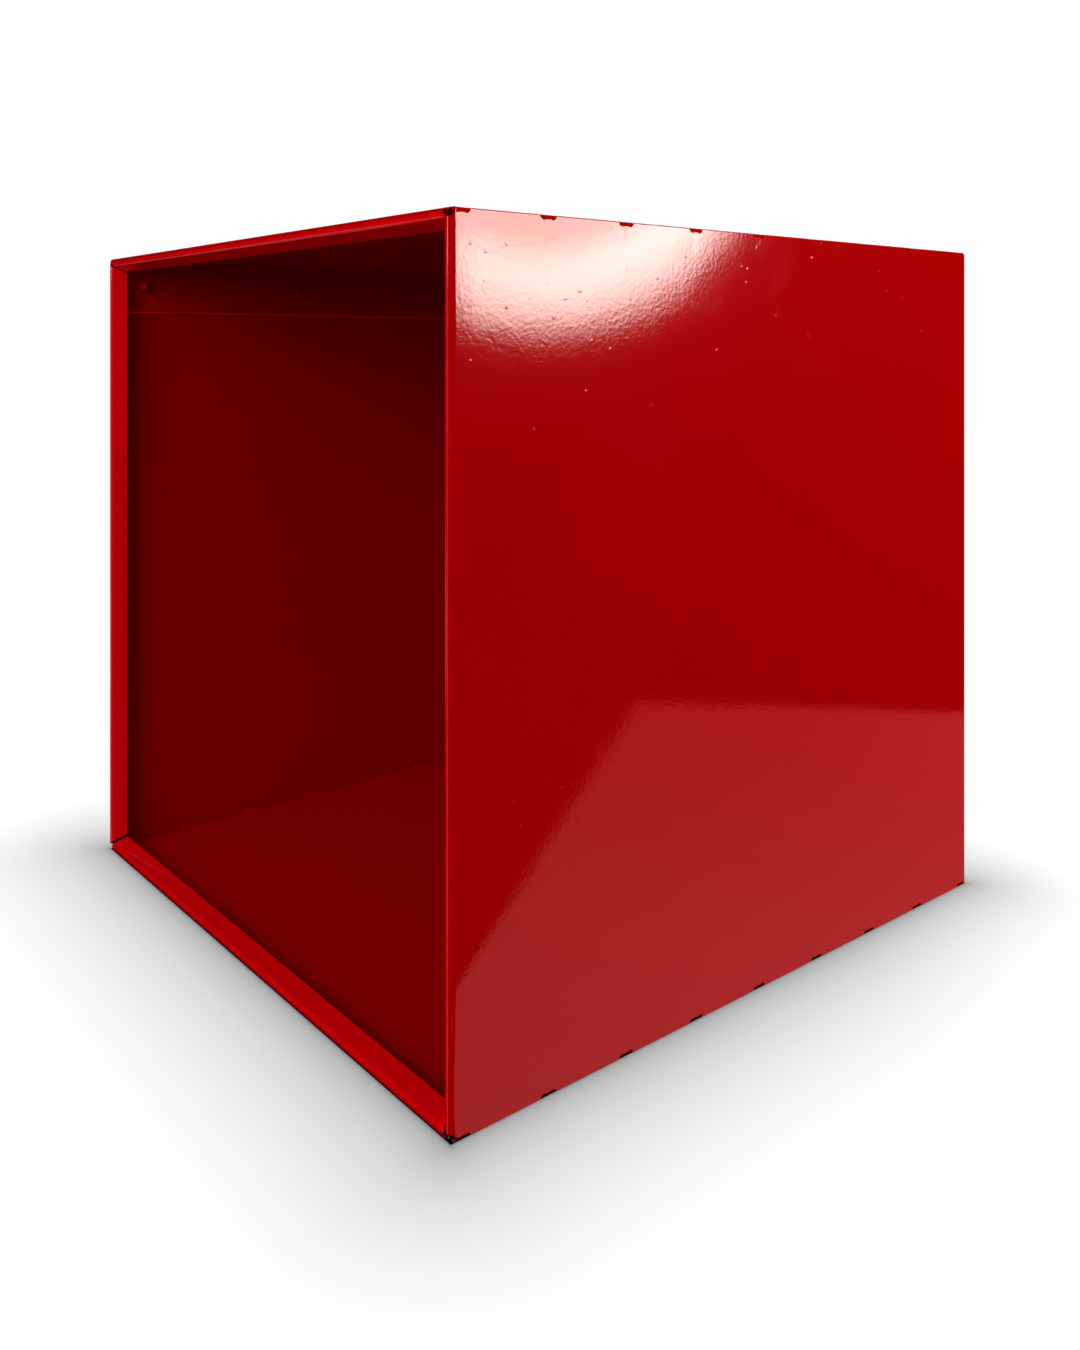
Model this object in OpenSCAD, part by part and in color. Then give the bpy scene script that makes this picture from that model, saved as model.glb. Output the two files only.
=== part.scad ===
// Open-front cube box in thin sheet steel: one blank folded round on slotted fold lines,
// closed by a riveted lap, with rolled front lips and a riveted back panel.
// The origin is the middle of the underside. The open front faces -Y.

/* [Box] */
// Outside width, left to right
box_w = 330; // [150:1:600]
// Outside depth, front to back
box_d = 330; // [150:1:600]
// Outside height
box_h = 330; // [150:1:600]
// Thickness of the folded sheet
sheet_t = 1.2; // [0.8:0.1:1.5]

/* [Front lips] */
// Outside radius of the rolled front edges
lip_r = 2.4; // [2:0.1:5]
// How far the sheet turns round the front edge, in degrees
lip_turn = 155; // [120:1:160]
// Flat length of each lip beyond its bend
lip_flat = 6.9; // [3:0.1:15]
// Open joint between two lips at the upper corners
lip_gap_top = 0.6; // [0.2:0.1:2]
// Open joint between two lips at the lower corners
lip_gap_bottom = 1.4; // [0.2:0.1:2]
// Diameter of the relief hole where two front bends meet
relief_d = 3.2; // [2:0.1:4]
// Distance of the relief hole's middle from each outer face
relief_inset = 1.95; // [1.5:0.05:4]
// Distance of the relief hole's middle behind the front edge
relief_depth = 0.7; // [0.2:0.1:2]

/* [Fold lines] */
// Outside radius of the bent straps
strap_r = 2; // [1.6:0.1:3]
// Length of each strap along its fold line
strap_len = 8; // [7:0.5:14]
// Spacing of the straps, adjusted a little to share out the depth
strap_pitch = 40; // [25:1:80]
// Distance of the end straps' middles from the box's front and back
strap_margin = 5; // [4:0.5:15]
// Open width of the slots between the straps
slot_w = 0.2; // [0.1:0.05:0.5]
// How far the side walls' edges stop short of the top and the underside
edge_drop = 0.4; // [0.2:0.1:1]

/* [Closing lap] */
// Height of the flange that closes the wrap, inside the left wall
lap_h = 30; // [20:1:60]
// Distance of the flange's ends from the front and back
lap_end = 6; // [4:0.5:15]
// Coat of paint between the flange and the left wall
lap_gap = 0.15; // [0.05:0.05:0.3]
// Number of rivets through the lap
lap_rivets = 4; // [2:1:8]
// Distance of the end rivets from the front and back
lap_rivet_margin = 19; // [16:1:40]

/* [Back] */
// Thickness of the back panel
back_t = 1.2; // [0.8:0.1:2]
// Width of the flanges that the back panel lies on
flange_w = 18; // [14:1:30]
// Outside radius of the back bends
flange_r = 2.4; // [2:0.1:5]
// Open joint between two back flanges
flange_gap = 1; // [0.2:0.1:2]
// Clearance from the back panel's edges to the walls
back_clear = 1.6; // [1:0.1:4]
// Number of rivets on each flange
back_rivets = 3; // [2:1:5]
// Distance of the end rivets from the flange's ends
back_rivet_margin = 40; // [30:1:60]

/* [Rivets] */
// Diameter of a rivet's shank
rivet_d = 4; // [3:0.1:5]
// Extra diameter of the rivet holes
hole_clear = 0.1; // [0.05:0.05:0.3]
// Diameter of the domed head
head_d = 8; // [6:0.5:10]
// Height of the domed head
head_h = 1.3; // [1:0.1:2]
// Diameter of the spread tail
tail_d = 5.6; // [5:0.1:8]
// Length of the spread tail
tail_h = 3; // [2.4:0.1:4]
// Rounding of the spread tail
tail_round = 1; // [0.4:0.1:1]
// Diameter of the pin that spreads the tail
pin_d = 2.2; // [1.5:0.1:2.4]
// Running clearance round the pin
pin_clear = 0.05; // [0.02:0.01:0.1]
// Diameter of the pin's own head
pin_head_d = 3.4; // [2.8:0.1:4]
// Depth of the broken pin's end below the crown of the rivet
pin_sunk = 0.35; // [0.2:0.05:0.8]

/* [Hidden] */
$fn = 64;
eps = 0.01;
paint = [0.66, 0.01, 0.02];
// The walls are numbered round the box: 0 floor, 1 right, 2 top, 3 left.
FLOOR = 0;
RIGHT = 1;
TOP = 2;
LEFT = 3;
across = [box_h, box_w];
span = [box_w, box_h];
// Joint between wall k and the next one, at wall k's far end
lip_gap = [lip_gap_bottom, lip_gap_top, lip_gap_top, lip_gap_bottom];
flat_y = [-box_d / 2 + lip_r, box_d / 2 - flange_r];
strap_count = round((box_d - 2 * strap_margin) / strap_pitch) + 1;
strap_step = (box_d - 2 * strap_margin) / (strap_count - 1);
slot_edge = sheet_t + slot_w;
lap_inset = sheet_t + lap_gap;
lap_stack = sheet_t + lap_inset;
back_stack = sheet_t + back_t;
corner_reach = max(flange_w, lip_flat + 2 * lip_r) + 1;

// Draws in wall k's own frame: X along the wall's width, Y front to back,
// Z inwards from the wall's outer face.
module on_wall(k) {
    translate([0, 0, box_h / 2])
        rotate([0, -90 * k, 0])
            translate([0, 0, -across[k % 2] / 2])
                children();
}

// Draws an outline lying in the YZ plane, pushed out by length along X and centred.
module along_x(length) {
    translate([-length / 2, 0, 0])
        rotate([90, 0, 90])
            linear_extrude(length)
                children();
}

// Cross-section of a bend of outside radius r about the origin, turning clockwise
// from straight down.
module bend_outline(r, turn) {
    intersection() {
        difference() {
            circle(r);
            circle(r - sheet_t);
        }
        polygon(concat([[0, 0]],
            [for (i = [0:4]) let (a = 270 - turn * i / 4) 2 * r * [cos(a), sin(a)]]));
    }
}

// Cross-section of a front lip, with the wall's outer face on the X axis.
module lip_outline() {
    translate([lip_r, lip_r]) {
        bend_outline(lip_r, lip_turn);
        rotate(270 - lip_turn)
            translate([lip_r - sheet_t, -lip_flat])
                square([sheet_t, lip_flat + eps]);
    }
}

// Cross-section of a back flange, measured forwards from the back face.
module flange_outline() {
    translate([flange_r, flange_r])
        bend_outline(flange_r, 90);
    translate([0, flange_r - eps])
        square([sheet_t, flange_w - flange_r + eps]);
}

// Keeps only what lies on wall k's side of the mitres at its two ends.
module mitred(k, gaps) {
    half = span[k % 2] / 2;
    near = half - gaps[(k + 3) % 4] / sqrt(2);
    far = half - gaps[k] / sqrt(2);
    intersection() {
        children();
        rotate([90, 0, 0])
            translate([0, 0, -box_d / 2 - 1])
                linear_extrude(box_d + 2)
                    polygon([[-near, 0], [far, 0],
                             [far - corner_reach, corner_reach],
                             [corner_reach - near, corner_reach]]);
    }
}

module front_lip(k) {
    on_wall(k)
        mitred(k, lip_gap)
            translate([0, -box_d / 2, 0])
                along_x(span[k % 2])
                    lip_outline();
}

module back_flange(k) {
    on_wall(k)
        mitred(k, [for (i = [0:3]) flange_gap])
            translate([0, box_d / 2, 0])
                along_x(span[k % 2])
                    mirror([1, 0])
                        flange_outline();
}

// The flat of wall k, stopping short of its two ends by near and far.
module wall_flat(k, near, far) {
    half = span[k % 2] / 2;
    on_wall(k)
        translate([near - half, flat_y[0] - eps, 0])
            cube([2 * half - near - far, flat_y[1] - flat_y[0] + 2 * eps, sheet_t]);
}

// Fold frames put the outer corner of two walls on the Y axis, the covered wall
// along +X and the covering side wall along +Z.
module fold_floor_right() {
    translate([box_w / 2, 0, 0]) rotate([0, 0, 180]) children();
}

module fold_floor_left() {
    translate([-box_w / 2, 0, 0]) children();
}

module fold_top_right() {
    translate([box_w / 2, 0, box_h]) rotate([0, 180, 0]) children();
}

module fold_top_lap() {
    translate([-box_w / 2 + lap_inset, 0, box_h]) rotate([180, 0, 0]) children();
}

module each_strap() {
    for (i = [0:strap_count - 1])
        translate([0, -box_d / 2 + strap_margin + i * strap_step, 0])
            children();
}

// Outline of a strap on the covering wall: straight, with quarter-round ends.
module strap_outline() {
    square([strap_len - 2 * strap_r, 2 * strap_r], center = true);
    for (side = [-1, 1])
        translate([side * (strap_len / 2 - strap_r), 0])
            circle(strap_r);
}

// Windows for the straps in the covering wall of a fold.
module side_windows() {
    each_strap()
        translate([-1, 0, 0])
            rotate([90, 0, 90])
                linear_extrude(sheet_t + 1 + eps)
                    strap_outline();
}

// Windows for the straps in the covered wall of a fold.
module flat_windows() {
    each_strap()
        translate([sheet_t, -strap_len / 2, -1])
            cube([strap_r - sheet_t, strap_len, sheet_t + 2]);
}

// Cross-section of a strap, with a tongue that reaches the covered wall's edge.
module strap_section() {
    translate([strap_r, strap_r])
        bend_outline(strap_r, 90);
    translate([strap_r, 0])
        square([max(slot_edge - strap_r, 0) + eps, sheet_t]);
}

module strap() {
    intersection() {
        translate([0, strap_len / 2, 0])
            rotate([90, 0, 0])
                linear_extrude(strap_len)
                    strap_section();
        translate([-1, 0, 0])
            rotate([90, 0, 90])
                linear_extrude(strap_r + slot_edge + 1)
                    strap_outline();
    }
}

// Straps of one fold, kept between the front and back ends of the flats.
module straps(front = flat_y[0], back = flat_y[1]) {
    intersection() {
        each_strap() strap();
        translate([-1, front, -1])
            cube([strap_r + slot_edge + 2, back - front, strap_r + 2]);
    }
}

module lap_flange() {
    ends = box_d / 2 - lap_end;
    difference() {
        translate([-box_w / 2 + lap_inset, -ends, box_h - lap_h])
            cube([sheet_t, 2 * ends, lap_h - edge_drop]);
        fold_top_lap() side_windows();
    }
    fold_top_lap() straps(-ends, ends);
}

// Round holes where the front bends of two walls meet.
module corner_reliefs() {
    for (x = [-1, 1])
        for (z = [relief_inset, box_h - relief_inset])
            translate([x * (box_w / 2 - relief_inset), -box_d / 2 + relief_depth, z])
                sphere(d = relief_d);
}

// Places on the lap, from the front, with Z pointing into the box from the left wall.
module at_lap_rivet(i) {
    step = (box_d - 2 * lap_rivet_margin) / (lap_rivets - 1);
    on_wall(LEFT)
        translate([(lap_h - box_h) / 2, -box_d / 2 + lap_rivet_margin + (i - 1) * step, 0])
            children();
}

// Places on the back flanges, wall by wall, with Z pointing forwards from the back face.
module at_back_rivet(i) {
    k = floor((i - 1) / back_rivets);
    reach = span[k % 2] / 2 - back_rivet_margin;
    step = 2 * reach / (back_rivets - 1);
    on_wall(k)
        translate([-reach + ((i - 1) % back_rivets) * step, box_d / 2, flange_w / 2])
            rotate([90, 0, 0])
                children();
}

module rivet_holes() {
    for (i = [1:lap_rivets])
        at_lap_rivet(i)
            translate([0, 0, -1])
                cylinder(d = rivet_d + hole_clear, h = lap_stack + 2);
    for (i = [1:4 * back_rivets])
        at_back_rivet(i)
            translate([0, 0, -1])
                cylinder(d = rivet_d + hole_clear, h = back_stack + 2);
}

// The side walls run past the ends of the floor and the top, which stop at the slots.
module flats() {
    difference() {
        union() {
            wall_flat(RIGHT, edge_drop, edge_drop);
            wall_flat(LEFT, edge_drop, edge_drop);
        }
        fold_floor_right() side_windows();
        fold_floor_left() side_windows();
        fold_top_right() side_windows();
    }
    difference() {
        union() {
            wall_flat(FLOOR, slot_edge, slot_edge);
            wall_flat(TOP, slot_edge, lap_inset + slot_edge);
        }
        fold_floor_right() flat_windows();
        fold_floor_left() flat_windows();
        fold_top_right() flat_windows();
        fold_top_lap() flat_windows();
    }
}

module folded_body() {
    color(paint)
        difference() {
            union() {
                flats();
                fold_floor_right() straps();
                fold_floor_left() straps();
                fold_top_right() straps();
                lap_flange();
                for (k = [FLOOR, RIGHT, TOP, LEFT]) {
                    front_lip(k);
                    back_flange(k);
                }
            }
            corner_reliefs();
            rivet_holes();
        }
}

module back_panel() {
    edge = sheet_t + back_clear;
    color(paint)
        difference() {
            translate([-box_w / 2 + edge, box_d / 2 - back_stack, edge])
                cube([box_w - 2 * edge, back_t, box_h - 2 * edge]);
            rivet_holes();
        }
}

// Blind rivet with its head outside the stack and its spread tail inside.
module rivet(stack) {
    crown_r = (head_d * head_d / 4 + head_h * head_h) / (2 * head_h);
    color(paint)
        rotate_extrude()
            difference() {
                union() {
                    intersection() {
                        translate([0, crown_r - head_h]) circle(crown_r);
                        translate([0, -head_h]) square([head_d / 2, head_h]);
                    }
                    translate([0, -eps]) square([rivet_d / 2, stack + 2 * eps]);
                    translate([0, stack]) tail_outline();
                }
                translate([-crown_r, -head_h - 1])
                    square([crown_r + pin_d / 2 + pin_clear, head_h + stack + tail_h + 2]);
            }
}

module tail_outline() {
    square([tail_d / 2 - tail_round, tail_h]);
    translate([0, tail_round])
        square([tail_d / 2, tail_h - 2 * tail_round]);
    for (z = [tail_round, tail_h - tail_round])
        translate([tail_d / 2 - tail_round, z])
            circle(tail_round);
}

// Steel pin left in the rivet, with its head pulled against the tail.
module rivet_pin(stack) {
    head_z = stack + tail_h;
    color(paint) {
        translate([0, 0, pin_sunk - head_h])
            cylinder(d = pin_d, h = head_z + head_h - pin_sunk + eps);
        translate([0, 0, head_z])
            intersection() {
                sphere(d = pin_head_d);
                translate([-pin_head_d, -pin_head_d, 0])
                    cube(2 * pin_head_d);
            }
    }
}

folded_body();
back_panel();
for (i = [1:lap_rivets]) {
    at_lap_rivet(i) rivet(lap_stack);
    at_lap_rivet(i) rivet_pin(lap_stack);
}
for (i = [1:4 * back_rivets]) {
    at_back_rivet(i) rivet(back_stack);
    at_back_rivet(i) rivet_pin(back_stack);
}
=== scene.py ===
import math

import bmesh
import bpy
from mathutils import Matrix, Vector


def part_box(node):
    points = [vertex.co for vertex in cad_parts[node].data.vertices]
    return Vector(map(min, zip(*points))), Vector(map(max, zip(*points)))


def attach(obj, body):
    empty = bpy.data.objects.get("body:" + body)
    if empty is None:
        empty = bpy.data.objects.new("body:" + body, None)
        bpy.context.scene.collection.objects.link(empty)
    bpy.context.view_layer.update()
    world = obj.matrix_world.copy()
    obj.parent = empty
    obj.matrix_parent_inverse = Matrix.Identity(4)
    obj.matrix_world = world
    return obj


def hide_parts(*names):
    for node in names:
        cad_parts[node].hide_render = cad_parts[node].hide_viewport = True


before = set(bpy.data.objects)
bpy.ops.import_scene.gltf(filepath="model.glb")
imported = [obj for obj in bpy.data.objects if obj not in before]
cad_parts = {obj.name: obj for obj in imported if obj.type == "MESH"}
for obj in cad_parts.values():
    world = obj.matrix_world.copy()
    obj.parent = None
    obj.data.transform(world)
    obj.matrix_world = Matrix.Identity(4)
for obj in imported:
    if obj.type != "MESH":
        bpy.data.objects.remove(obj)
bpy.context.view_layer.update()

MM = 0.001

# ---------------------------------------------------------------- sizes, in millimetres
body_low, body_high = [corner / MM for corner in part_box("folded_body")]
panel_low, panel_high = [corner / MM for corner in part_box("back_panel")]
BOX_W = body_high.x - body_low.x
BOX_D = body_high.y - body_low.y
BOX_H = body_high.z - body_low.z
SHEET_T = body_high.y - panel_high.y

# Rolled front lips: outside radius, degrees turned, the flat beyond the bend, and open joints
LIP_R = 2.4
LIP_TURN = 155
LIP_FLAT = 6.9
LIP_GAP_TOP = 0.6
LIP_GAP_BOTTOM = 1.4
CORNER_R = 2.6

# Relief holes at the lips' joints: size, and how far in from the side and back from the front
RELIEF_R = 2.0
RELIEF_INSET = 1.6
RELIEF_DEPTH = 0.9
RELIEF_EXTRA = 1.6
CLOSED_RELIEF_R = 1.9
CLOSED_RELIEF_INSET = 2.95

# Slotted fold lines and the bent straps left between their slots
STRAP_R = 2.0
STRAP_LEN = 8.0
STRAP_MARGIN = 5.0
STRAP_COUNT = 9
STRAP_GAP = 0.12
STRAP_TURN = 50
SLOT_EDGE = 1.4
EDGE_DROP = 0.4
JOG = 0.3

# Lap flange inside the left wall, back flanges, back panel and painted edges
LAP_H = 30.0
LAP_END = 6.0
LAP_INSET = 1.35
FLANGE_W = 18.0
FLANGE_R = 2.4
FLANGE_GAP = 1.0
PANEL_CORNER_R = 2.0
PAINT_ROUND = 0.2

# Steps of the mesh round each bend, and where the lip's flat is divided
LIP_STEPS = 40
FLANGE_STEPS = 16
STRAP_STEPS = 8
STRAP_END_STEPS = 8
STRAP_END_TURN = 78.5
LIP_FLAT_SHARES = (0.5, 0.94, 1)
FLANGE_FOOT = 0.5

# Band of narrower faces along every wall's ends, and its least width
EDGE_BAND = 12.0
EDGE_BAND_LEAST = 4

# Steps round the panel's corners and the painted edges, and how sharp an edge gets rounded
CORNER_STEPS = 8
PAINT_STEPS = 3
SHARP_TURN = 40

# Points this close are one point, and this much is no distance
SAME_PLACE = 0.002
NEAR = 0.001

FLOOR, RIGHT, TOP, LEFT = range(4)
SPAN = [BOX_W, BOX_H]
ACROSS = [BOX_H, BOX_W]
LIP_GAP = [LIP_GAP_BOTTOM, LIP_GAP_TOP, LIP_GAP_TOP, LIP_GAP_BOTTOM]
FLAT_FRONT = LIP_R - BOX_D / 2
FLAT_BACK = BOX_D / 2 - FLANGE_R
STRAP_STEP = (BOX_D - 2 * STRAP_MARGIN) / (STRAP_COUNT - 1)
STRAPS = [STRAP_MARGIN - BOX_D / 2 + i * STRAP_STEP for i in range(STRAP_COUNT)]
LAP_STRAPS = STRAPS[1:-1]
COLUMNS = [-1, -0.5, 0, 0.5, 1]


# ---------------------------------------------------------------- materials
class Shade:
    """A value in a node tree that can be worked with as a number."""

    def __init__(self, tree, socket):
        self.tree = tree
        self.socket = socket

    def math(self, operation, *others, clamp=False):
        return node(self.tree, "ShaderNodeMath", {"operation": operation, "use_clamp": clamp},
                    dict(enumerate([self, *others])))

    def __add__(self, other):
        return self.math("ADD", other)

    def __sub__(self, other):
        return self.math("SUBTRACT", other)

    def __mul__(self, other):
        return self.math("MULTIPLY", other)

    def __truediv__(self, other):
        return self.math("DIVIDE", other)

    def __pow__(self, other):
        return self.math("POWER", other)

    def __abs__(self):
        return self.math("ABSOLUTE")

    def __rsub__(self, other):
        return (self * -1) + other

    __radd__ = __add__
    __rmul__ = __mul__

    def at_least(self, other):
        return self.math("MAXIMUM", other)

    def clamped(self):
        return self.math("MULTIPLY", 1.0, clamp=True)

    def above(self, low, high):
        """Rises smoothly from 0 at low to 1 at high."""
        return node(self.tree, "ShaderNodeMapRange", {"interpolation_type": "SMOOTHSTEP"},
                    {"Value": self, "From Min": low, "From Max": high})


def node(tree, kind, settings=None, values=None, output=0):
    """Adds a node, sets it up, then fills or links its inputs. Returns one of its outputs."""
    made = tree.nodes.new(kind)
    for name, value in (settings or {}).items():
        setattr(made, name, value)
    for name, value in (values or {}).items():
        if isinstance(value, Shade):
            tree.links.new(value.socket, made.inputs[name])
        else:
            made.inputs[name].default_value = value
    return Shade(tree, made.outputs[output]) if len(made.outputs) else None


def mix_colour(tree, factor, first, second):
    return node(tree, "ShaderNodeMix", {"data_type": "RGBA"},
                {"Factor": factor, 6: first, 7: second}, output=2)


def scale_colour(tree, colour, level):
    return node(tree, "ShaderNodeVectorMath", {"operation": "SCALE"}, {0: colour, "Scale": level})


def object_place(tree):
    return node(tree, "ShaderNodeTexCoord", output="Object")


def split(tree, place):
    first = node(tree, "ShaderNodeSeparateXYZ", None, {0: place})
    return [Shade(tree, socket) for socket in first.socket.node.outputs]


def noise(tree, place, scale, detail, roughness=0.5):
    return node(tree, "ShaderNodeTexNoise", None,
                {"Vector": place, "Scale": scale, "Detail": detail, "Roughness": roughness})


def new_material(name):
    material = bpy.data.materials.new(name)
    material.use_nodes = True
    tree = material.node_tree
    tree.nodes.clear()
    return material, tree


def finish_material(tree, values):
    surface = node(tree, "ShaderNodeBsdfPrincipled", None, values)
    node(tree, "ShaderNodeOutputMaterial", None, {"Surface": surface})


BLACK = (0.0, 0.0, 0.0, 1)
# Painted shade inside the relief holes
HOLE_PAINTED_SHADE = (0.02, 0.0, 0.0, 1)
# Painted light along the lap flange's lower edge
LAP_EDGE_PAINTED_LIGHT = (0.95, 0.0, 0.004, 1)

# Painted light: how much brighter red the lips are coloured than the rest, standing in for light
# they don't get, and the bottom lip's share of it
LIP_PAINTED_LIGHT_GAIN = 1.42
BOTTOM_LIP_SHARE = 0.45

# Where the painted light and shade in the coat's colour change over, in millimetres: start and
# end of each change
LIP_SIDE = (1.5, 3.0)
LIP_BACK = (-8.2, -7.4)
LIP_BAND = 9
LAP_OUTER_FACE = (1.24, 1.3)
LAP_INNER_FACE = (2.7, 3.0)
LAP_FRONT = (5.0, 5.5)
LAP_EDGE = (0.5, 0.9)
HOLE_IN, HOLE_BACK, HOLE_DOWN = 2.9, 2.4, 2.5
HOLE_DARK_R = 2.3
HOLE_WIDER_BELOW = 0.8
HOLE_SOFT = 0.6

# Noise cells to the metre
BROAD_SCALE = 9.0
CLOUDY_SCALE = 38.0
NIB_SCALE = 310.0
PEEL_SCALE = 620.0
GRAIN_SCALE = 1500.0

# Height of the coat's relief, in metres
BROAD_HEIGHT = 0.0002
CLOUDY_HEIGHT = 0.00003
NIB_HEIGHT = 0.00003
PEEL_HEIGHT = 0.000015
GRAIN_HEIGHT = 0.000002


def change_over(value, ends, start=0.0):
    """Rises smoothly between two distances past a start, all in millimetres."""
    return value.above((start + ends[0]) * MM, (start + ends[1]) * MM)


def lip_painted_light_mask(x, y, z):
    """Painted light on the front lips: full on the two upright ones and the top one, under half
    on the bottom one.
    """
    inset = BOX_W * MM / 2 - abs(x).at_least(abs(z - BOX_H * MM / 2))
    turned_in = change_over(inset, LIP_SIDE)
    in_front = change_over(y * -1, LIP_BACK, BOX_D / 2)
    upright = (abs(x) - (BOX_W / 2 - LIP_BAND) * MM).above(0.0, MM)
    full = upright.at_least(z.above(0.0, BOX_H * MM))
    return turned_in * in_front * (BOTTOM_LIP_SHARE + (1 - BOTTOM_LIP_SHARE) * full)


def lap_edge_painted_light_mask(x, y, z):
    """Painted light on the lower edge of the lap flange, which lifts the shade line under it;
    inside the left wall and clear of the front bend.
    """
    from_left = x + BOX_W / 2 * MM
    flange = change_over(from_left, LAP_OUTER_FACE) * (1 - change_over(from_left, LAP_INNER_FACE))
    behind_bend = change_over(y, LAP_FRONT, -BOX_D / 2)
    from_edge = abs(z - (BOX_H - LAP_H) * MM)
    return flange * behind_bend * (1 - change_over(from_edge, LAP_EDGE))


def relief_painted_shade_mask(x, y, z):
    """Painted shade inside the relief holes, wider at the bottom; none at the closed top left
    joint.
    """
    out_x = abs(x) - (BOX_W / 2 - HOLE_IN) * MM
    out_y = y - (HOLE_BACK - BOX_D / 2) * MM
    out_z = abs(z - BOX_H * MM / 2) - (BOX_H / 2 - HOLE_DOWN) * MM
    away = (out_x * out_x + out_y * out_y + out_z * out_z) ** 0.5
    low = 1 - z.above(0.4 * BOX_H * MM, 0.6 * BOX_H * MM)
    deep = (low * HOLE_WIDER_BELOW + HOLE_DARK_R) * MM - away
    return deep.above(0.0, HOLE_SOFT * MM) * (x + low).above(0.0, MM)


def powder_coat(name, red, roughness, peel=1.0, wave=1.0):
    """Gloss powder coat: orange peel, gentle waviness, a few nibs and dull smears."""
    material, tree = new_material(name)
    place = object_place(tree)
    broad = noise(tree, place, BROAD_SCALE, 3.0)
    cloudy = noise(tree, place, CLOUDY_SCALE, 4.0, 0.6)
    fine = noise(tree, place, PEEL_SCALE, 1.0)
    grain = noise(tree, place, GRAIN_SCALE, 0.0)
    nibs = noise(tree, place, NIB_SCALE, 0.0).above(0.80, 0.86)
    smear = cloudy.above(0.55, 0.75) * broad.above(0.4, 0.6)
    shade = broad * 0.10 + cloudy * 0.05 + fine * 0.02
    light = (red * 1.02, 0.0015, 0.002, 1)
    dark = (red * 0.90, 0.0, 0.0, 1)
    x, y, z = split(tree, place)
    base = mix_colour(tree, (shade * 5.0 + 0.05).clamped(), dark, light)
    # Painted light on the front lips
    base = mix_colour(tree, lip_painted_light_mask(x, y, z), base, (min(red * LIP_PAINTED_LIGHT_GAIN, 1), 0.0, 0.004, 1))
    # Painted light on the lap flange's lower edge, lifting the shade under it
    base = mix_colour(tree, lap_edge_painted_light_mask(x, y, z), base, LAP_EDGE_PAINTED_LIGHT)
    # Painted shade inside the relief holes
    base = mix_colour(tree, relief_painted_shade_mask(x, y, z), base, HOLE_PAINTED_SHADE)
    height = fine * (PEEL_HEIGHT * peel) + grain * (GRAIN_HEIGHT * peel)
    height = height + cloudy * (CLOUDY_HEIGHT * wave) + broad * (BROAD_HEIGHT * wave)
    height = height + nibs * NIB_HEIGHT
    normal = node(tree, "ShaderNodeBump", None,
                  {"Strength": 1.0, "Distance": 1.0, "Height": height})
    rough = smear * 0.05 + fine * 0.02 + roughness
    finish_material(tree, {
        "Base Color": base, "Roughness": rough, "IOR": 1.5, "Normal": normal,
    })
    return material


BODY_PAINT = powder_coat("body_gloss_red", 0.52, 0.06)
PANEL_PAINT = powder_coat("panel_gloss_red", 0.50, 0.08)
RIVET_PAINT = powder_coat("rivet_gloss_red", 0.50, 0.12, peel=0.5, wave=0.0)
PIN_PAINT = powder_coat("pin_gloss_red", 0.44, 0.22, peel=0.8, wave=0.0)


# ---------------------------------------------------------------- shaping
def wall_place(wall):
    """Wall's own frame: X along it, Y front to back, Z inwards from its outer face."""
    return (Matrix.Translation((0, 0, BOX_H / 2))
            @ Matrix.Rotation(math.radians(-90 * wall), 4, "Y")
            @ Matrix.Translation((0, 0, -ACROSS[wall % 2] / 2)))


class Chain:
    """A run of edges drawn from one end, by steps and turns, in one plane across X."""

    def __init__(self, bm, start):
        self.bm = bm
        self.end = bmesh.ops.create_vert(bm, co=start)["vert"][0]

    def step_to(self, y, z):
        grown = bmesh.ops.extrude_vert_indiv(self.bm, verts=[self.end])
        self.end = grown["verts"][0]
        self.end.co = (self.end.co.x, y, z)

    def turn(self, centre_y, centre_z, degrees, steps):
        turned = bmesh.ops.spin(
            self.bm, geom=[self.end], cent=(0, centre_y, centre_z), axis=(1, 0, 0),
            angle=math.radians(degrees), steps=steps, use_duplicate=False)
        self.end = only_verts(turned["geom_last"])[0]


def only_verts(geom):
    return [part for part in geom if isinstance(part, bmesh.types.BMVert)]


def only_edges(geom):
    return [part for part in geom if isinstance(part, bmesh.types.BMEdge)]


def strap_sides(middle, depth):
    """Front and back of a strap, this far from the fold line along the covering wall."""
    half = STRAP_LEN / 2 - STRAP_R + math.sqrt(max(STRAP_R ** 2 - depth ** 2, 0))
    reach = half - STRAP_GAP
    return (max(middle - reach, FLAT_FRONT + JOG), min(middle + reach, FLAT_BACK - JOG))


def strap_columns(middle, depth):
    low, high = strap_sides(middle, depth)
    return [low + (high - low) * (c + 1) / 2 for c in COLUMNS]


def covering_edge(y, straps):
    """How far a covering wall's edge stops short of the fold line."""
    edge = EDGE_DROP
    for middle in straps:
        off = abs(y - middle) - (STRAP_LEN / 2 - STRAP_R)
        if off < STRAP_R:
            edge = max(edge, math.sqrt(STRAP_R ** 2 - max(off, 0) ** 2))
    return edge


def covered_edge(y, straps):
    """The same for a covered wall, which the straps join end on."""
    edge = SLOT_EDGE
    for middle in straps:
        off = abs(y - middle) - STRAP_LEN / 2
        if off < JOG:
            edge = max(edge, STRAP_R - (STRAP_R - SLOT_EDGE) * max(off, 0) / JOG)
    return edge


def covering_rungs(straps):
    rungs = []
    for middle in straps:
        rungs += strap_columns(middle, STRAP_R)
        for side in (-1, 1):
            for i in range(STRAP_END_STEPS):
                turn = math.radians(STRAP_END_TURN) * i / (STRAP_END_STEPS - 1)
                rungs.append(middle + side * (STRAP_LEN / 2 - STRAP_R + STRAP_R * math.sin(turn)))
    return rungs


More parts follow.
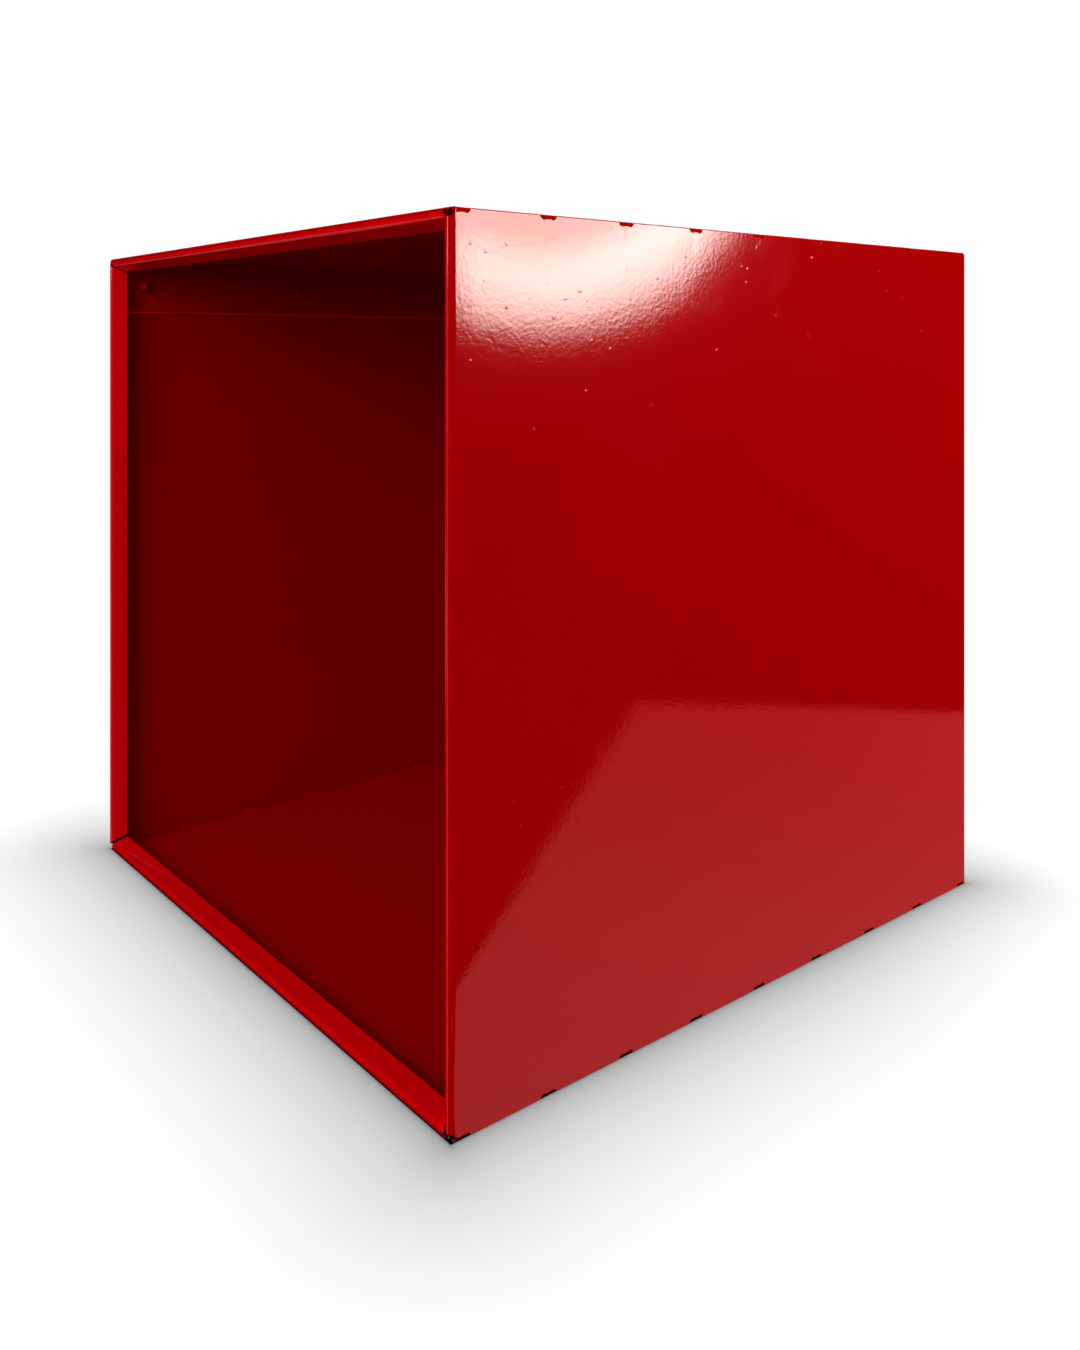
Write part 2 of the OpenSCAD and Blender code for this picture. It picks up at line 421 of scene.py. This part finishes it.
def covered_rungs(straps):
    rungs = []
    for middle in straps:
        rungs += strap_columns(middle, 0)
        for side in (-1, 1):
            rungs += [middle + side * STRAP_LEN / 2, middle + side * (STRAP_LEN / 2 + JOG)]
    return rungs


def covering(y):
    return covering_edge(y, STRAPS)


def covered(y):
    return covered_edge(y, STRAPS)


def lapped(y):
    return covered_edge(y, LAP_STRAPS) + LAP_INSET


def straight(y):
    return EDGE_DROP


# For each wall: rung places, then the edge rule at its near and far ends
WALL_EDGES = {
    FLOOR: (covered_rungs(STRAPS), covered, covered),
    RIGHT: (covering_rungs(STRAPS), covering, covering),
    TOP: (covered_rungs(STRAPS), covered, lapped),
    LEFT: (covering_rungs(STRAPS), straight, covering),
}


def corner_edge(y, z, gap, open_corner, level):
    """Distance of a lip's mitred end from the box's side, round the relief hole."""
    edge = gap / math.sqrt(2) + z
    forward = min(max((FLAT_FRONT - y) / LIP_R, 0), 1)
    reach = CORNER_R * math.sin(forward * math.pi / 2)
    if z < reach:
        edge = max(edge, reach - math.sqrt(reach ** 2 - (reach - z) ** 2))
    inset = RELIEF_INSET if open_corner else CLOSED_RELIEF_INSET
    radius = RELIEF_R if open_corner else CLOSED_RELIEF_R
    extra = RELIEF_EXTRA if open_corner and level else 0
    over = radius ** 2 - (y + BOX_D / 2 - RELIEF_DEPTH) ** 2 - (z - inset) ** 2
    if over > 0:
        edge = max(edge, inset + math.sqrt(over) + extra * min(over, 1))
    return edge


def rung_end(wall, side, y, z):
    """Distance of a rung's end from the box's side, at either end of a wall."""
    if z < NEAR and FLAT_FRONT + NEAR < y < FLAT_BACK - NEAR:
        near, far = WALL_EDGES[wall][1:]
        return far(y) if side > 0 else near(y)
    if y < 0:
        joint = wall if side > 0 else (wall + 3) % 4
        return corner_edge(y, z, LIP_GAP[joint], joint != TOP, wall in (FLOOR, TOP))
    return FLANGE_GAP / math.sqrt(2) + z


def draw_section(part, wall):
    """Edge of one wall from its lip, round the front bend and back to its flange."""
    lip_end = math.radians(270 - LIP_TURN)
    start_y = FLAT_FRONT + LIP_R * math.cos(lip_end) + LIP_FLAT * math.sin(lip_end)
    start_z = LIP_R + LIP_R * math.sin(lip_end) - LIP_FLAT * math.cos(lip_end)
    chain = Chain(part, (-1, start_y, start_z))
    for share in LIP_FLAT_SHARES:
        chain.step_to(start_y - share * LIP_FLAT * math.sin(lip_end),
                      start_z + share * LIP_FLAT * math.cos(lip_end))
    chain.turn(FLAT_FRONT, LIP_R, LIP_TURN, LIP_STEPS)
    rungs = [y for y in WALL_EDGES[wall][0] if FLAT_FRONT + JOG < y < FLAT_BACK - JOG]
    rungs = sorted(set(round(y, 3) for y in rungs + [FLAT_FRONT + JOG, FLAT_BACK - JOG]))
    for y in rungs + [FLAT_BACK]:
        chain.step_to(y, 0)
    chain.turn(FLAT_BACK, FLANGE_R, 90, FLANGE_STEPS)
    chain.step_to(BOX_D / 2, FLANGE_R + FLANGE_FOOT)
    chain.step_to(BOX_D / 2, FLANGE_W)


def add_wall(bm, wall):
    """Rolled front lip, flat and back flange of one wall, as one sheet of rungs.

    It is drawn from X = -1 to 1 with the bands' inner edges at -0.5 and 0.5, then stretched.
    """
    part = bmesh.new()
    draw_section(part, wall)
    edges = part.edges[:]
    for width in (0.5, 1, 0.5):
        grown = bmesh.ops.extrude_edge_only(part, edges=edges)["geom"]
        edges = only_edges(grown)
        bmesh.ops.translate(part, verts=only_verts(grown), vec=(width, 0, 0))
    for v in part.verts:
        side = 1 if v.co.x > 0 else -1
        inset = rung_end(wall, side, v.co.y, v.co.z)
        if abs(v.co.x) < 0.75:
            inset = max(EDGE_BAND, inset + EDGE_BAND_LEAST)
        v.co.x = side * (SPAN[wall % 2] / 2 - inset)
    bmesh.ops.transform(part, matrix=wall_place(wall), verts=part.verts[:])
    join(bm, part)


def add_lap(bm):
    """Flange inside the left wall that closes the wrap, hanging from the top."""
    part = bmesh.new()
    front, back = LAP_END - BOX_D / 2, BOX_D / 2 - LAP_END
    rungs = [y for y in covering_rungs(LAP_STRAPS) if front < y < back]
    rungs = sorted(set(round(y, 4) for y in rungs))
    chain = Chain(part, (0, front, -LAP_H))
    for y in rungs + [back]:
        chain.step_to(y, -LAP_H)
    edges = part.edges[:]
    for height in (lambda y: -EDGE_BAND / 2, lambda y: -covering_edge(y, LAP_STRAPS)):
        grown = bmesh.ops.extrude_edge_only(part, edges=edges)["geom"]
        edges = only_edges(grown)
        for v in only_verts(grown):
            v.co.z = height(v.co.y)
    bmesh.ops.translate(part, verts=part.verts[:], vec=(LAP_INSET - BOX_W / 2, 0, BOX_H))
    join(bm, part)


def add_strap(bm, middle, corner, inwards, upwards):
    """Shallow bent strap from the covering wall (upwards) to the covered wall (inwards).

    It is drawn from Y = -1 to 1, bent, then stretched between the strap's two sides.
    """
    part = bmesh.new()
    chain = Chain(part, (0, COLUMNS[0], STRAP_R))
    for c in COLUMNS[1:]:
        chain.step_to(c, STRAP_R)
    half_turn = math.radians(STRAP_TURN / 2)
    far = STRAP_R / 2 * (1 + 1 / math.tan(half_turn))
    bmesh.ops.spin(part, geom=part.verts[:] + part.edges[:], cent=(far, 0, far),
                   axis=(0, 1, 0), angle=-2 * half_turn, steps=STRAP_STEPS, use_duplicate=False)
    for v in part.verts:
        low, high = strap_sides(middle, max(v.co.z, 0))
        v.co.y = low + (high - low) * (v.co.y + 1) / 2
    place = Matrix((
        (inwards, 0, 0, corner[0]),
        (0, 1, 0, 0),
        (0, 0, upwards, corner[1]),
        (0, 0, 0, 1),
    ))
    bmesh.ops.transform(part, matrix=place, verts=part.verts[:])
    join(bm, part)


def join(bm, part):
    mesh = bpy.data.meshes.new("part")
    part.to_mesh(mesh)
    part.free()
    bm.from_mesh(mesh)
    bpy.data.meshes.remove(mesh)


def new_object(name, bm, material):
    mesh = bpy.data.meshes.new(name)
    bm.to_mesh(mesh)
    bm.free()
    mesh.materials.append(material)
    made = bpy.data.objects.new(name, mesh)
    bpy.context.scene.collection.objects.link(made)
    return made


def new_piece(name, bm, material, cad_node):
    bmesh.ops.transform(bm, matrix=Matrix.Scale(MM, 4), verts=bm.verts[:])
    piece = new_object(name, bm, material)
    piece.data.shade_smooth()
    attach(piece, "root")
    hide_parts(cad_node)
    return piece


def face_outwards(bm, towards):
    """Makes all faces agree, with the face furthest along towards looking that way."""
    bmesh.ops.recalc_face_normals(bm, faces=bm.faces[:])
    outermost = max(bm.faces, key=lambda f: f.calc_center_median().dot(towards))
    if outermost.normal.dot(towards) < 0:
        bmesh.ops.reverse_faces(bm, faces=bm.faces[:])


def folded_shell():
    """The whole blank: four walls, the lap flange and the straps, given its thickness."""
    bm = bmesh.new()
    for wall in (FLOOR, RIGHT, TOP, LEFT):
        add_wall(bm, wall)
    add_lap(bm)
    for middle in STRAPS:
        add_strap(bm, middle, (BOX_W / 2, 0), -1, 1)
        add_strap(bm, middle, (-BOX_W / 2, 0), 1, 1)
        add_strap(bm, middle, (BOX_W / 2, BOX_H), -1, -1)
    for middle in LAP_STRAPS:
        add_strap(bm, middle, (LAP_INSET - BOX_W / 2, BOX_H), 1, -1)
    bmesh.ops.remove_doubles(bm, verts=bm.verts[:], dist=SAME_PLACE)
    face_outwards(bm, Vector((1, 0, 0)))
    piece = new_piece("folded_shell", bm, BODY_PAINT, "folded_body")
    wall = piece.modifiers.new("sheet", "SOLIDIFY")
    wall.thickness = SHEET_T * MM
    wall.offset = -1
    wall.use_even_offset = True
    wall.use_quality_normals = True
    edges = piece.modifiers.new("painted_edges", "BEVEL")
    edges.width = PAINT_ROUND * MM
    edges.segments = PAINT_STEPS
    edges.limit_method = "ANGLE"
    edges.angle_limit = math.radians(SHARP_TURN)
    edges.use_clamp_overlap = False
    settle(piece, "folded_body")


def settle(piece, cad_node):
    """Fixes the sheet's thickness and rounded edges, held inside the CAD node's own box."""
    depsgraph = bpy.context.evaluated_depsgraph_get()
    solid = bpy.data.meshes.new_from_object(piece.evaluated_get(depsgraph))
    piece.modifiers.clear()
    piece.data = solid
    low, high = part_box(cad_node)
    for v in solid.vertices:
        v.co = [min(max(c, least), most) for c, least, most in zip(v.co, low, high)]
    flatten_shading(piece)


def flatten_shading(piece):
    """Lets the large flat faces set the shading, so that only the rounded edges turn it."""
    shading = piece.modifiers.new("flat_shading", "WEIGHTED_NORMAL")
    shading.keep_sharp = False
    shading.weight = 60


def bevel_edges(bm, edges, radius, segments):
    bmesh.ops.bevel(bm, geom=edges, offset=radius, offset_type="OFFSET", segments=segments,
                    profile=0.5, affect="EDGES", material=-1)


def depth_along(edge):
    return abs((edge.verts[0].co - edge.verts[1].co).y)


def back_sheet():
    """Plate behind the back flanges' opening, with rounded corners and painted edges."""
    bm = bmesh.new()
    bmesh.ops.create_cube(bm, size=1)
    bmesh.ops.scale(bm, vec=panel_high - panel_low, verts=bm.verts[:])
    bmesh.ops.translate(bm, vec=(panel_high + panel_low) / 2, verts=bm.verts[:])
    corners = [e for e in bm.edges if depth_along(e) > SHEET_T / 2]
    bevel_edges(bm, corners, PANEL_CORNER_R, CORNER_STEPS)
    rims = [e for e in bm.edges if depth_along(e) < 0.01]
    bevel_edges(bm, rims, PAINT_ROUND, PAINT_STEPS)
    bmesh.ops.recalc_face_normals(bm, faces=bm.faces[:])
    piece = new_piece("back_sheet", bm, PANEL_PAINT, "back_panel")
    flatten_shading(piece)


folded_shell()
back_sheet()
for name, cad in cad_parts.items():
    if "rivet" in name:
        cad.data.materials.clear()
        cad.data.materials.append(PIN_PAINT if "pin" in name else RIVET_PAINT)


# ---------------------------------------------------------------- stage, lights and camera
H = BOX_H * MM
TONE = 0.85
STAGE_SIZE = (30, 30)
DOME_R = 14
FLAT = Matrix.Identity(4)


def emit(tree, colour, strength=1.0):
    """Finishes a material as one that only gives light."""
    finish_material(tree, {
        "Base Color": BLACK, "Roughness": 1.0, "Specular IOR Level": 0.0,
        "Emission Color": colour, "Emission Strength": strength,
    })


def plain_light(name, colour, strength=1.0):
    material, tree = new_material(name)
    emit(tree, (*colour, 1), strength)
    return material


def stage_object(name, bm, place, material, camera=False, glossy=False, diffuse=False):
    """Part of the stage, which only the chosen kinds of ray can meet."""
    made = new_object(name, bm, material)
    made.matrix_world = place
    made.visible_camera = camera
    made.visible_glossy = glossy
    made.visible_diffuse = diffuse
    made.visible_shadow = False
    made.visible_transmission = False


def stage_sheet(name, size, place, material, **rays):
    bm = bmesh.new()
    bmesh.ops.create_grid(bm, x_segments=1, y_segments=1, size=0.5)
    bmesh.ops.scale(bm, vec=(*size, 1), verts=bm.verts[:])
    stage_object(name, bm, place, material, **rays)


def lay(x, y, z=0.0):
    return Matrix.Translation((x, y, z))


def stand(azimuth, distance, height, aside):
    """Place of an upright sheet at an azimuth: X across it, Y up, Z away from the middle."""
    turn = math.radians(azimuth)
    outward = Vector((math.cos(turn), math.sin(turn), 0))
    across = Vector((-math.sin(turn), math.cos(turn), 0))
    place = Matrix.Identity(4)
    place.col[0] = (*across, 0)
    place.col[1] = (0, 0, 1, 0)
    place.col[2] = (*outward, 0)
    place.col[3] = (*(outward * distance + across * aside + Vector((0, 0, height))), 1)
    return place


# Painted shadow on the floor: reach from the box as shares of its height, fall and depth
SHADOW_REACH = 0.24
SHADOW_SHORTER_BEHIND = 0.07
SHADOW_BEHIND = 0.18
SHADOW_FALL = 0.42
SHADOW_DEPTH = 0.72
FLOOR_WHITE = 0.998
UNDER_BOX = (-1, -0.5)


def pale_floor():
    """White to the camera, with a painted soft shadow round the box's foot and painted black
    shade beneath it.
    """
    material, tree = new_material("pale_floor")
    x, y = split(tree, object_place(tree))[:2]
    out_x = (abs(x) - BOX_W * MM / 2).at_least(0.0)
    out_y = (abs(y) - BOX_D * MM / 2).at_least(0.0)
    away = (out_x * out_x + out_y * out_y) ** 0.5
    reach = (SHADOW_REACH - y.above(0.0, SHADOW_BEHIND) * SHADOW_SHORTER_BEHIND) * H
    shadow = (1 - (away / reach) ** SHADOW_FALL).at_least(0.0) * SHADOW_DEPTH
    beside = change_over(abs(x), UNDER_BOX, BOX_W / 2)
    before = change_over(abs(y), UNDER_BOX, BOX_D / 2)
    level = (1 - shadow) ** TONE * beside.at_least(before)
    emit(tree, scale_colour(tree, (1.0, 1.0, 1.0), level * FLOOR_WHITE))
    stage_sheet("pale_floor", STAGE_SIZE, FLAT, material, camera=True)


# Glowing sheet on the floor beside the right wall, seen only in mirror, standing in for the lit
# floor there: tinted red and painted dimmer towards the back; its corners as shares of the height
TABLE_CORNERS = [(1.536, 0.782), (0.5025, 1.798), (0.5025, -0.486), (0.6277, -0.486)]
TABLE_FRONT = (1.45, 0.59, 0.60, 1)
TABLE_BACK = (1.50, 0.32, 0.33, 1)


def lit_table_glow():
    """Mirrored as the pale slanting area low in the right wall."""
    material, tree = new_material("lit_table_glow")
    y = split(tree, object_place(tree))[1]
    emit(tree, mix_colour(tree, y.above(-0.15, 0.30), TABLE_FRONT, TABLE_BACK))
    bm = bmesh.new()
    corners = [bmesh.ops.create_vert(bm, co=(x * H, y * H, 0))["vert"][0]
               for x, y in TABLE_CORNERS]
    bmesh.ops.contextual_create(bm, geom=corners)
    stage_object("lit_table_glow", bm, FLAT, material, glossy=True)


def front_paper():
    """Patch of lit floor in front, mirrored as a thin line under the top front bend."""
    material, tree = new_material("front_paper")
    x = split(tree, object_place(tree))[0]
    emit(tree, scale_colour(tree, (0.55, 0.40, 0.46), x.above(-0.45, 0.15)))
    stage_sheet("front_paper", (0.95, 0.42), lay(-0.82, -0.56), material, glossy=True)


# Softbox: radius, room for its faded rim, level, dimmed share, and height of its lowest point
SOFTBOX_R = 0.585
SOFTBOX_RIM = 0.7
SOFTBOX_LEVEL = 20.0
SOFTBOX_DIMMING = 0.37
SOFTBOX_LOWEST = 0.357
CLOTH = (0.97, 1.0, 0.92)
GLOW = (0.62, 0.0, 0.07)

# Sizes of the upright lights, and for each its azimuth, distance, height and shift aside
SOFTBOX_SIDE = 2 * SOFTBOX_R + SOFTBOX_RIM
SOFTBOX_STAND = (42, 3.0, SOFTBOX_LOWEST + SOFTBOX_R, -0.325)
STRIP_SIZE = (0.6, 5.0)
STRIP_STAND = (-111, 2.5, -1.0, 0.0)
CARD_SIZE = (1.3, 0.9)
CARD_STAND = (158, 2.5, 0.75, 0.0)


def softbox():
    """Round soft light whose lower corner shows in the right wall, with a faint red rim."""
    material, tree = new_material("softbox_cloth")
    across, up = split(tree, object_place(tree))[:2]
    inside = SOFTBOX_R - (across * across + up * up) ** 0.5
    lit = inside.above(-0.085, 0.03) * 0.6 + inside.above(-0.05, 0.13) * 0.4
    dimmed = inside.above(0.12, 0.26).at_least(1 - across.above(-0.240, -0.212))
    level = lit * (SOFTBOX_LEVEL - dimmed * (SOFTBOX_DIMMING * SOFTBOX_LEVEL))
    cloth = scale_colour(tree, CLOTH, level)
    glow = scale_colour(tree, GLOW, inside.above(-0.33, -0.02))
    emit(tree, node(tree, "ShaderNodeVectorMath", {"operation": "ADD"}, {0: cloth, 1: glow}))
    size = (SOFTBOX_SIDE, SOFTBOX_SIDE)
    stage_sheet("softbox", size, stand(*SOFTBOX_STAND), material, glossy=True)


def front_strip():
    """Tall light in front whose line runs down the rolled edges, brightest above eye level."""
    material, tree = new_material("front_strip")
    up = split(tree, object_place(tree))[1]
    emit(tree, scale_colour(tree, (1, 1, 1.05), up.above(1.42, 1.50) * 5.0 + 0.9))
    stage_sheet("front_strip", STRIP_SIZE, stand(*STRIP_STAND), material, glossy=True)


def white_dome():
    """What the camera sees beyond the floor."""
    bm = bmesh.new()
    bmesh.ops.create_icosphere(bm, subdivisions=3, radius=DOME_R)
    material = plain_light("white_dome", (0.997, 0.997, 0.997))
    stage_object("white_dome", bm, FLAT, material, camera=True)


def add_lamp(name, place, target, energy, size):
    """Square soft lamp aimed at a target, which lights the coat but isn't mirrored in it."""
    light = bpy.data.lights.new(name, "AREA")
    light.energy = energy
    light.shape = "SQUARE"
    light.size = size
    lamp = bpy.data.objects.new(name, light)
    lamp.location = place
    lamp.rotation_euler = (Vector(target) - Vector(place)).to_track_quat("-Z", "Y").to_euler()
    lamp.visible_glossy = False
    lamp.visible_camera = False
    bpy.context.scene.collection.objects.link(lamp)


pale_floor()

# Dim floor that only gives the coat the light from below
dim_floor = plain_light("dim_floor", (0.2, 0.2, 0.2))
stage_sheet("dim_floor", STAGE_SIZE, lay(0, 0, -0.0005), dim_floor, diffuse=True)

lit_table_glow()
front_paper()

# Pale floor beside the left wall, which mirrors it in views from the left
side_paper = plain_light("side_paper", (0.32, 0.25, 0.27))
stage_sheet("side_paper", (1.5, 1.6), lay(-1.12, 0.46), side_paper, glossy=True)

softbox()
front_strip()

# Soft card behind the left side: rims the top front bend and shows in the left wall
left_card = plain_light("left_card", (1.0, 0.9, 0.92), 0.8)
stage_sheet("left_card", CARD_SIZE, stand(*CARD_STAND), left_card, glossy=True)

world = bpy.data.worlds.new("studio")
world.use_nodes = True
bpy.context.scene.world = world
background = world.node_tree.nodes["Background"]
background.inputs["Color"].default_value = (1, 1, 1, 1)
background.inputs["Strength"].default_value = 0.34
world.cycles_visibility.glossy = False
world.cycles_visibility.transmission = False

add_lamp("front_key", (0.42, -1.75, 0.85), (0, -0.1, 0.15), energy=25, size=1.2)
add_lamp("side_key", (0.95, 0.75, 0.85), (0.16, 0.12, 0.28), energy=13, size=0.5)

white_dome()

# Level camera: its place as shares of the height, and which way it looks
EYE = (1.5545, -1.2465, 0.8475)
LOOK_LEFT, LOOK_BACK = 0.772, 0.637
LENS = 32.36
FRAME_SHIFT = -0.2415

camera = bpy.data.objects.new("camera", bpy.data.cameras.new("camera"))
camera.data.lens = LENS
camera.data.shift_y = FRAME_SHIFT
camera.data.clip_start = 0.01
camera.location = [share * H for share in EYE]
camera.rotation_euler = (math.pi / 2, 0, math.atan2(LOOK_LEFT, LOOK_BACK))
bpy.context.scene.collection.objects.link(camera)
bpy.context.scene.camera = camera
bpy.context.scene.view_settings.view_transform = "Standard"
bpy.context.scene.view_settings.gamma = TONE
